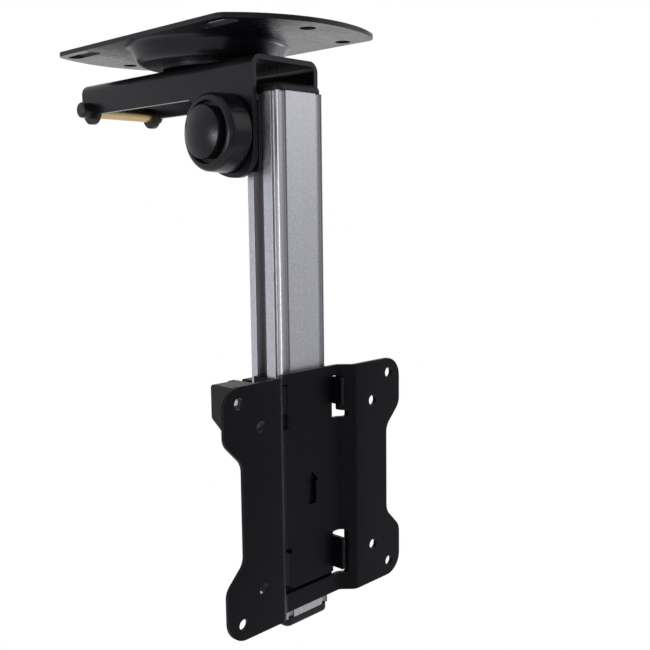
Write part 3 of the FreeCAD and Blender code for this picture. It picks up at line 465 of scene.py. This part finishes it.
def anodised_silver():
    """Blasted and anodised extrusion: fine sparkle, faint lines along it, and painted shade, a little warm,
    in the grooves and slots.
    """
    dark, light, bare = 0.84, 1.10, 1.3
    line_share, line_shade, line_height = 0.45, 0.82, 0.5
    # Painted shade colour for grooves and slots, as factors on the silver
    groove_shade_colour = (0.50, 0.47, 0.46)
    colour, roughness = finish().silver_colour, finish().silver_roughness
    scale, height = SILVER_GRAIN
    material, tree, shader = new_material("silver_anodised")
    edges = rubbed_edges(tree)
    grain = effect(tree, "even_grain", Scale=scale)
    lines = effect(tree, "drawn_lines")
    groove_shade_mask = effect(tree, "shade_in_grooves", Reach=SILVER_SHADE_REACH)["Mask"]
    body = blend_colours(tree, grain["Tone"], shade(colour, dark), shade(colour, light))
    lined = spread(tree, lines["Tone"], 0.0, 1.0, 0.0, line_share)
    body = blend_colours(tree, lined, body, shade(colour, line_shade))
    body = blend_colours(tree, edges["Mask"], body, shade(colour, bare))
    # Painted shade: the colour goes darker and a little warmer in grooves and slots, where less sky is seen
    body = blend_colours(tree, groove_shade_mask, body, tinted(colour, groove_shade_colour))
    gloss = uneven(tree, grain["Tone"], roughness, below=0.05, above=0.06)
    ridges = calculate(tree, "MULTIPLY", lines["Height"], line_height)
    relief = calculate(tree, "ADD", grain["Height"], ridges)
    shader.inputs["Metallic"].default_value = 1.0
    fill(tree, shader, body, gloss, raised(tree, relief, height, edges["Normal"]))
    return material


def moulded_black(name, colour, roughness, grain_size):
    """Moulded black plastic: spark-eroded grain, a slightly uneven gloss and pale rubbed edges."""
    dark, light, bare = 0.85, 1.2, 5.0
    scale, height = grain_size
    material, tree, shader = new_material(name)
    edges = rubbed_edges(tree, wear=0.5)
    grain = effect(tree, "even_grain", Scale=scale)
    cloud = effect(tree, "smudges", Scale=MOULDING_CLOUDS)["Value"]
    body = blend_colours(tree, cloud, shade(colour, dark), shade(colour, light))
    body = blend_colours(tree, edges["Mask"], body, shade(colour, bare))
    gloss = uneven(tree, grain["Tone"], roughness, below=0.05, above=0.05)
    shader.inputs["Specular IOR Level"].default_value = finish().paint_shine
    fill(tree, shader, body, gloss, raised(tree, grain["Height"], height, edges["Normal"]))
    return material


def plated_metal(name, colour, tint, roughness, clouds=PLATING_CLOUDS, wear=1.0):
    """Plated metal: two tones in slow clouds, fine grain in the gloss, bright edges and painted shade in
    its recesses.
    """
    bare, groove_shade_factor = 1.25, 0.45
    scale, height = PLATING_GRAIN
    material, tree, shader = new_material(name)
    edges = rubbed_edges(tree, wear=wear)
    grain = effect(tree, "even_grain", Scale=scale)
    cloud = effect(tree, "smudges", Scale=clouds)["Value"]
    groove_shade_mask = effect(tree, "shade_in_grooves", Reach=PLATING_SHADE_REACH)["Mask"]
    body = blend_colours(tree, cloud, shade(colour, 1.0), tint)
    body = blend_colours(tree, edges["Mask"], body, shade(colour, bare))
    # Painted shade: the colour goes darker in recesses, where less sky is seen
    body = blend_colours(tree, groove_shade_mask, body, shade(colour, groove_shade_factor))
    gloss = uneven(tree, grain["Tone"], roughness, below=0.04, above=0.04)
    shader.inputs["Metallic"].default_value = 1.0
    fill(tree, shader, body, gloss, raised(tree, grain["Height"], height, edges["Normal"]))
    return material


def blackened_steel():
    """Oiled black steel: dark metal with browner clouds and steel showing on the rubbed edges."""
    dark, brown, bare = 0.8, (1.25, 1.08, 0.95), 0.5
    metal_share = 0.65
    colour, roughness = finish().blackened_colour, finish().blackened_roughness
    scale, height = OXIDE_GRAIN
    material, tree, shader = new_material("black_oxide_steel")
    edges = rubbed_edges(tree, radius=0.7)
    grain = effect(tree, "even_grain", Scale=scale)
    cloud = effect(tree, "smudges", Scale=OXIDE_CLOUDS)["Value"]
    body = blend_colours(tree, cloud, shade(colour, dark), tinted(colour, brown))
    body = blend_colours(tree, edges["Mask"], body, shade(finish().zinc_colour, bare))
    gloss = uneven(tree, grain["Tone"], roughness, below=0.07, above=0.07)
    shader.inputs["Metallic"].default_value = metal_share
    fill(tree, shader, body, gloss, raised(tree, grain["Height"], height, edges["Normal"]))
    return material


def dress(material, names):
    """Gives one material to several rigid pieces."""
    for name in names:
        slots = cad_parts[name].data.materials
        slots.clear()
        slots.append(material)


def finish_of(name):
    """Material that a rigid piece wears."""
    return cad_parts[name].data.materials[0]


def grid_object(name, points, material, sharp_angle):
    """Closed tube from a grid of points, rows by columns, whose first and last rows each meet in one point.

    Row i and column j make the quad (i, j), (i, j + 1), (i + 1, j + 1), (i + 1, j); columns wrap round.
    """
    rows, columns = points.shape[:2]
    index = np.arange(rows * columns).reshape(rows, columns)
    right = np.roll(index, -1, axis=1)
    quads = np.stack([index[:-1], right[:-1], right[1:], index[1:]], axis=-1).reshape(-1, 4)
    mesh = bpy.data.meshes.new(name)
    mesh.from_pydata(points.reshape(-1, 3).tolist(), [], quads.tolist())
    return finished_object(name, mesh, material, sharp_angle)


def finished_object(name, mesh, material, sharp_angle):
    """Merged, outward, smooth-shaded object in the scene, with its sharp bends kept."""
    work = bmesh.new()
    work.from_mesh(mesh)
    bmesh.ops.remove_doubles(work, verts=work.verts, dist=SAME_POINT)
    bmesh.ops.dissolve_degenerate(work, dist=NO_LENGTH, edges=work.edges)
    bmesh.ops.recalc_face_normals(work, faces=work.faces)
    work.to_mesh(mesh)
    work.free()
    mesh.shade_smooth()
    mesh.set_sharp_from_angle(angle=sharp_angle)
    mesh.materials.append(material)
    piece = bpy.data.objects.new(name, mesh)
    bpy.context.scene.collection.objects.link(piece)
    return piece


class FinishOperator:
    """What every operator of this file shares"""

    bl_options = {"REGISTER"}


class BRACKET_OT_sheet(FinishOperator, bpy.types.Operator):
    """Coats the pressed and folded sheets"""

    bl_idname = "bracket.sheet"
    bl_label = "Pressed sheets"

    def execute(self, context):
        look = finish()
        coat = sprayed_black(
            "black_powder_coat", look.coat_colour, look.coat_roughness, look.coat_shine, COAT_GRAIN
        )
        paint = sprayed_black(
            "black_satin_paint", look.paint_colour, look.paint_roughness, look.paint_shine, PAINT_GRAIN
        )
        dress(coat, COATED_SHEET)
        dress(paint, PAINTED_SHEET)
        return {"FINISHED"}


class BRACKET_OT_column(FinishOperator, bpy.types.Operator):
    """Anodises the extruded column"""

    bl_idname = "bracket.column"
    bl_label = "Column"

    def execute(self, context):
        dress(anodised_silver(), ("column",))
        return {"FINISHED"}


class BRACKET_OT_mouldings(FinishOperator, bpy.types.Operator):
    """Gives the caps, the housing, the knob and the bushes their plastics"""

    bl_idname = "bracket.mouldings"
    bl_label = "Mouldings"

    def execute(self, context):
        look = finish()
        caps = moulded_black("black_plastic", look.plastic_colour, look.plastic_roughness, MOULDING_GRAIN)
        knob = moulded_black("black_knob", look.plastic_colour, look.knob_roughness, KNOB_GRAIN)
        nylon = moulded_black("black_nylon", look.nylon_colour, look.nylon_roughness, NYLON_GRAIN)
        dress(caps, MOULDINGS)
        dress(knob, KNOB_PIECES)
        dress(nylon, NYLON_PIECES)
        return {"FINISHED"}


class BRACKET_OT_hardware(FinishOperator, bpy.types.Operator):
    """Plates and blackens the fasteners, the latch and the knob's insert"""

    bl_idname = "bracket.hardware"
    bl_label = "Fasteners and latch"

    def execute(self, context):
        look = finish()
        zinc = plated_metal(
            "zinc_steel", look.zinc_colour,
            tint=shade(look.zinc_colour, 0.86), roughness=0.32,
        )
        dark = plated_metal(
            "dark_zinc_steel", look.dark_zinc_colour,
            tint=shade(look.dark_zinc_colour, 0.70), roughness=0.42,
        )
        passivate = plated_metal(
            "yellow_zinc", look.passivate_colour,
            tint=shade(look.passivate_tint, 1.0), roughness=0.30, clouds=PASSIVATE_CLOUDS, wear=0.2,
        )
        brass = plated_metal(
            "brass", look.brass_colour,
            tint=shade(look.brass_colour, 0.88), roughness=0.30,
        )
        dress(zinc, ZINC_PIECES)
        dress(dark, DARK_ZINC_PIECES)
        dress(passivate, ("latch_bar",))
        dress(brass, ("knob_insert",))
        dress(blackened_steel(), BLACKENED_PIECES)
        return {"FINISHED"}


class BRACKET_OT_recess_gap(FinishOperator, bpy.types.Operator):
    """Opens the narrow gap between the windows, along the foot of the screen plate's recess"""

    bl_idname = "bracket.recess_gap"
    bl_label = "Recess gap"

    def execute(self, context):
        mesh = bpy.data.meshes.new("screen_plate_gapped")
        mesh.from_pydata(*self.solid("screen_plate"))
        plate = finished_object("screen_plate_gapped", mesh, finish_of("screen_plate"), PLATE_SHARP)
        cutter = bpy.data.objects.new("gap", self.gap(context.scene.bracket_screen))
        context.scene.collection.objects.link(cutter)
        cut = plate.modifiers.new("gap", "BOOLEAN")
        cut.operation, cut.solver, cut.object = "DIFFERENCE", "EXACT", cutter
        graph = context.evaluated_depsgraph_get()
        plate.data = bpy.data.meshes.new_from_object(plate.evaluated_get(graph))
        plate.data.set_sharp_from_angle(angle=PLATE_SHARP)
        plate.modifiers.clear()
        bpy.data.objects.remove(cutter)
        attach(plate, "carriage")
        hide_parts("screen_plate")
        return {"FINISHED"}

    def solid(self, name):
        """Points, no edges and triangles of a rigid piece."""
        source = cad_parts[name].data
        points = np.empty(len(source.vertices) * 3)
        source.vertices.foreach_get("co", points)
        corners = np.empty(len(source.loops), dtype=np.int32)
        source.loops.foreach_get("vertex_index", corners)
        return points.reshape(-1, 3).tolist(), [], corners.reshape(-1, 3).tolist()

    def gap(self, sizes):
        """Block through the recess's floor: corner k takes its low or high place in X, Y and Z from the
        three binary digits of k."""
        low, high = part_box("screen_plate")
        foot = low.z + sizes.strip_height
        places = np.array([
            (-sizes.panel_half_width, high.y - GAP_REACH, foot),
            (sizes.panel_half_width, high.y + GAP_REACH, foot + sizes.gap_height),
        ])
        digits = (np.arange(8)[:, None] >> np.arange(3)) & 1
        corners = np.take_along_axis(places, digits, axis=0)
        sides = [(0, 2, 3, 1), (4, 5, 7, 6), (0, 1, 5, 4), (2, 6, 7, 3), (0, 4, 6, 2), (1, 3, 7, 5)]
        mesh = bpy.data.meshes.new("gap")
        mesh.from_pydata(corners.tolist(), [], sides)
        return mesh


def hexagon_reach(angle, half_flat):
    """Distance from the middle of a hexagon to its side: half the width over the cosine of the angle
    from the nearest side's middle; the corners stand at multiples of a sixth of a turn."""
    sixth = math.pi / 3
    return half_flat / np.cos(np.mod(angle, sixth) - sixth / 2)


class BRACKET_OT_swivel_bolt(FinishOperator, bpy.types.Operator):
    """Turns the swivel's bolt with its chamfered hexagon head and its thread"""

    bl_idname = "bracket.swivel_bolt"
    bl_label = "Swivel bolt"

    def execute(self, context):
        sizes = context.scene.bracket_swivel
        low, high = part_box("swivel_bolt")
        angle = np.linspace(0, 2 * math.pi, sizes.turn_steps, endpoint=False)
        points = self.surface(sizes, low, high, angle)
        bolt = grid_object("swivel_bolt_turned", points, finish_of("swivel_nut"), BOLT_SHARP)
        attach(bolt, "base")
        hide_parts("swivel_bolt")
        return {"FINISHED"}

    def surface(self, sizes, low, high, angle):
        """Radius as a function of the angle and of the place along the bolt.

        The head follows the hexagon, cut down by a cone that falls at thirty degrees from its flat top.
        The shank is round. On the thread the radius falls from crest to root and back as a triangle
        wave of the height plus the angle's share of one pitch.
        """
        half_flat, shank = high.y, sizes.shank_radius
        head_drop = np.array([*HEAD_ROWS, sizes.head_height, sizes.head_height])
        cone = half_flat - sizes.head_rim + head_drop * math.sqrt(3)
        head_r = np.minimum(hexagon_reach(angle, half_flat)[None, :], cone[:, None])
        head_r[0] = 0.0
        head_r[-1] = shank
        thread_top = low.z + sizes.thread_length
        thread_z = np.linspace(thread_top, low.z + sizes.thread_end, sizes.thread_rows)
        wave = np.mod(thread_z[:, None] / sizes.thread_pitch + angle[None, :] / (2 * math.pi), 1.0)
        depth = np.abs(2 * wave - 1)
        fade = np.clip((thread_top - thread_z) / sizes.thread_pitch, 0, 1)[:, None]
        thread_r = shank - sizes.thread_depth * depth * fade
        end_z = np.array([low.z, low.z])
        end_r = np.stack([np.full_like(angle, shank - sizes.thread_depth), np.zeros_like(angle)])
        z = np.concatenate([high.z - head_drop, thread_z, end_z])[:, None] * np.ones_like(angle)[None, :]
        r = np.concatenate([head_r, thread_r, end_r])
        return np.stack([r * np.cos(angle), r * np.sin(angle), z], axis=-1)


class BRACKET_OT_split_washer(FinishOperator, bpy.types.Operator):
    """Winds the swivel's split spring washer"""

    bl_idname = "bracket.split_washer"
    bl_label = "Split washer"

    def execute(self, context):
        sizes = context.scene.bracket_swivel
        low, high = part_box("swivel_spring_washer")
        points = self.surface(sizes, low, high)
        washer = grid_object("swivel_split_washer", points, finish_of("knob_washer"), WASHER_SHARP)
        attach(washer, "base")
        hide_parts("swivel_spring_washer")
        return {"FINISHED"}

    def surface(self, sizes, low, high):
        """Rectangle with cut corners carried once round the axis, from one side of the split to the other.

        The path climbs by a share of the washer's thickness over the turn, so that the ends stand apart.
        The first and last sections are drawn together to their middle, which closes the ends.
        """
        outer, inner = high.x, sizes.shank_radius + sizes.washer_clearance
        middle, thickness = (high.z + low.z) / 2, high.z - low.z
        half = thickness * (1 - sizes.washer_climb) / 2
        cut = sizes.washer_chamfer
        section = np.array([
            (inner + cut, -half), (outer - cut, -half), (outer, cut - half), (outer, half - cut),
            (outer - cut, half), (inner + cut, half), (inner, half - cut), (inner, cut - half),
        ])
        gap = sizes.washer_split / outer
        turn = np.linspace(gap / 2, 2 * math.pi - gap / 2, sizes.turn_steps)
        turn = np.concatenate([turn[:1], turn, turn[-1:]])
        share = np.ones_like(turn)
        share[[0, -1]] = 0.0
        core = section.mean(axis=0)
        shape = core + (section - core)[None, :, :] * share[:, None, None]
        radius, height = shape[:, :, 0], shape[:, :, 1]
        lift = (turn / (2 * math.pi) - 0.5) * sizes.washer_climb * thickness
        spin = turn[:, None] + height / outer * sizes.washer_slant
        z = middle + height + lift[:, None]
        return np.stack([radius * np.cos(spin), radius * np.sin(spin), z], axis=-1)


class BRACKET_OT_stage(FinishOperator, bpy.types.Operator):
    """Sets the camera, the floor, the white surroundings and the lamps"""

    bl_idname = "bracket.stage"
    bl_label = "Stage"

    def execute(self, context):
        scene = context.scene
        stage = scene.bracket_stage
        scene.view_settings.view_transform = "Standard"
        self.camera(scene, stage)
        self.floor(scene, stage)
        self.surroundings(scene)
        for lamp in LAMPS:
            self.lamp(scene, *lamp)
        return {"FINISHED"}

    def camera(self, scene, stage):
        """Camera from its azimuth, elevation and roll: columns are its right, its up and its back."""
        a, e, r = stage.azimuth, stage.elevation, stage.roll
        back = Vector((math.sin(a) * math.cos(e), -math.cos(a) * math.cos(e), math.sin(e)))
        level = Vector((math.cos(a), math.sin(a), 0.0))
        upright = back.cross(level)
        right = level * math.cos(r) + upright * math.sin(r)
        up = upright * math.cos(r) - level * math.sin(r)
        data = bpy.data.cameras.new("camera")
        data.sensor_width = SENSOR_MM
        data.lens = stage.view_pixels * SENSOR_MM / PHOTO_SIDE
        data.clip_start = NEAREST_VIEW
        camera = bpy.data.objects.new("camera", data)
        turned = Matrix((right, up, back)).transposed().to_4x4()
        camera.matrix_world = Matrix.Translation(stage.place) @ turned
        scene.collection.objects.link(camera)
        scene.camera = camera

    def floor(self, scene, stage):
        """Flat square floor below the part."""
        half = stage.floor_size / 2
        z = CAD_BOX[0][2] - stage.floor_drop
        corners = np.array([(-half, -half, z), (half, -half, z), (half, half, z), (-half, half, z)])
        mesh = bpy.data.meshes.new("floor")
        mesh.from_pydata(corners.tolist(), [], [(0, 1, 2, 3)])
        mesh.materials.append(self.floor_material(stage))
        floor = bpy.data.objects.new("floor", mesh)
        scene.collection.objects.link(floor)

    def floor_material(self, stage):
        """Pale matt floor that takes the part's shadow and fades to the white of the surroundings.

        The share of white grows from the middle to the rim.
        """
        material, tree, shader = new_material("pale_floor")
        shader.inputs["Base Color"].default_value = shade(stage.floor_colour, 1.0)
        shader.inputs["Roughness"].default_value = FLOOR_ROUGHNESS
        across = scaled_place(tree, (1.0, 1.0, 0.0))
        away = add(tree, "ShaderNodeVectorMath", {0: across}, operation="LENGTH").outputs["Value"]
        near, far = (share * stage.floor_size / 2 for share in FLOOR_FADE)
        white_share = spread(tree, away, near, far, FLOOR_WHITE, 1.0)
        share = calculate(tree, "MULTIPLY", self.seen_white(tree, FLOOR_MIRRORED), white_share)
        white = add(tree, "ShaderNodeEmission", {"Color": WHITE, "Strength": 1.0}).outputs[0]
        mixed = add(tree, "ShaderNodeMixShader", {0: share, 1: shader.outputs[0], 2: white}).outputs[0]
        tree.links.new(mixed, tree.nodes["Material Output"].inputs["Surface"])
        return material

    def surroundings(self, scene):
        """White backdrop in a grey room.

        The camera sees white all round. Reflections see the white backdrop behind the part, over a share
        that grows with the cosine from its middle, and the room elsewhere, darkest low at the front left.
        """
        world = bpy.data.worlds.new("studio")
        world.use_nodes = True
        tree = world.node_tree
        room = spread(tree, self.facing(tree, DARK_SIDE), *DARK_SPAN, ROOM_LIGHT, ROOM_DARK)
        room = add(tree, "ShaderNodeVectorMath", {0: room, 1: ROOM_TINT}, operation="MULTIPLY").outputs[0]
        backdrop = spread(tree, self.facing(tree, BACKDROP_SIDE), *BACKDROP_SPAN)
        level = blend_colours(tree, self.seen_white(tree, backdrop), room, WHITE)
        tree.links.new(level, tree.nodes["Background"].inputs["Color"])
        scene.world = world

    def facing(self, tree, side):
        """Cosine between a ray and a side of the room."""
        ray = add(tree, "ShaderNodeTexCoord").outputs["Generated"]
        return cosine(tree, ray, Vector(side).normalized())

    def seen_white(self, tree, mirrored_share):
        """Share of the white that a ray sees: all of it straight or through glass, some in reflections."""
        ray = add(tree, "ShaderNodeLightPath").outputs
        straight = calculate(tree, "MAXIMUM", ray["Is Camera Ray"], ray["Is Transmission Ray"])
        mirrored = calculate(tree, "MULTIPLY", ray["Is Glossy Ray"], mirrored_share)
        return calculate(tree, "MAXIMUM", straight, mirrored)

    def lamp(self, scene, name, place, power, size, colour):
        """Square soft box aimed at the middle of the part."""
        data = bpy.data.lights.new(name, "AREA")
        data.energy = power
        data.size = size
        data.color = colour
        lamp = bpy.data.objects.new(name, data)
        centre = (Vector(CAD_BOX[0]) + Vector(CAD_BOX[1])) / 2
        back = (Vector(place) - centre).to_track_quat("Z", "Y")
        lamp.matrix_world = Matrix.Translation(place) @ back.to_matrix().to_4x4()
        scene.collection.objects.link(lamp)


class BRACKET_PT_panel(bpy.types.Panel):
    """Lists the steps and their settings"""

    bl_idname = "BRACKET_PT_panel"
    bl_label = "Fold-down bracket"
    bl_space_type = "VIEW_3D"
    bl_region_type = "UI"
    bl_category = "Bracket"

    def draw(self, context):
        for step in STEPS:
            self.layout.operator(step.bl_idname)
        for setting in SETTINGS:
            group = getattr(context.scene, setting)
            box = self.layout.box()
            for name in group.__annotations__:
                box.prop(group, name)


STEPS = (
    BRACKET_OT_sheet,
    BRACKET_OT_column,
    BRACKET_OT_mouldings,
    BRACKET_OT_hardware,
    BRACKET_OT_recess_gap,
    BRACKET_OT_swivel_bolt,
    BRACKET_OT_split_washer,
    BRACKET_OT_stage,
)
SETTINGS = {
    "bracket_finish": BracketFinish,
    "bracket_swivel": BracketSwivel,
    "bracket_screen": BracketScreen,
    "bracket_stage": BracketStage,
}


def register():
    for cls in (*SETTINGS.values(), *STEPS, BRACKET_PT_panel):
        bpy.utils.register_class(cls)
    for name, cls in SETTINGS.items():
        setattr(bpy.types.Scene, name, PointerProperty(type=cls))


def unregister():
    for name in SETTINGS:
        delattr(bpy.types.Scene, name)
    for cls in (BRACKET_PT_panel, *reversed(STEPS), *reversed(SETTINGS.values())):
        bpy.utils.unregister_class(cls)


def main():
    register()
    for step in STEPS:
        group, name = step.bl_idname.split(".")
        getattr(getattr(bpy.ops, group), name)()


if __name__ == "__main__":
    main()
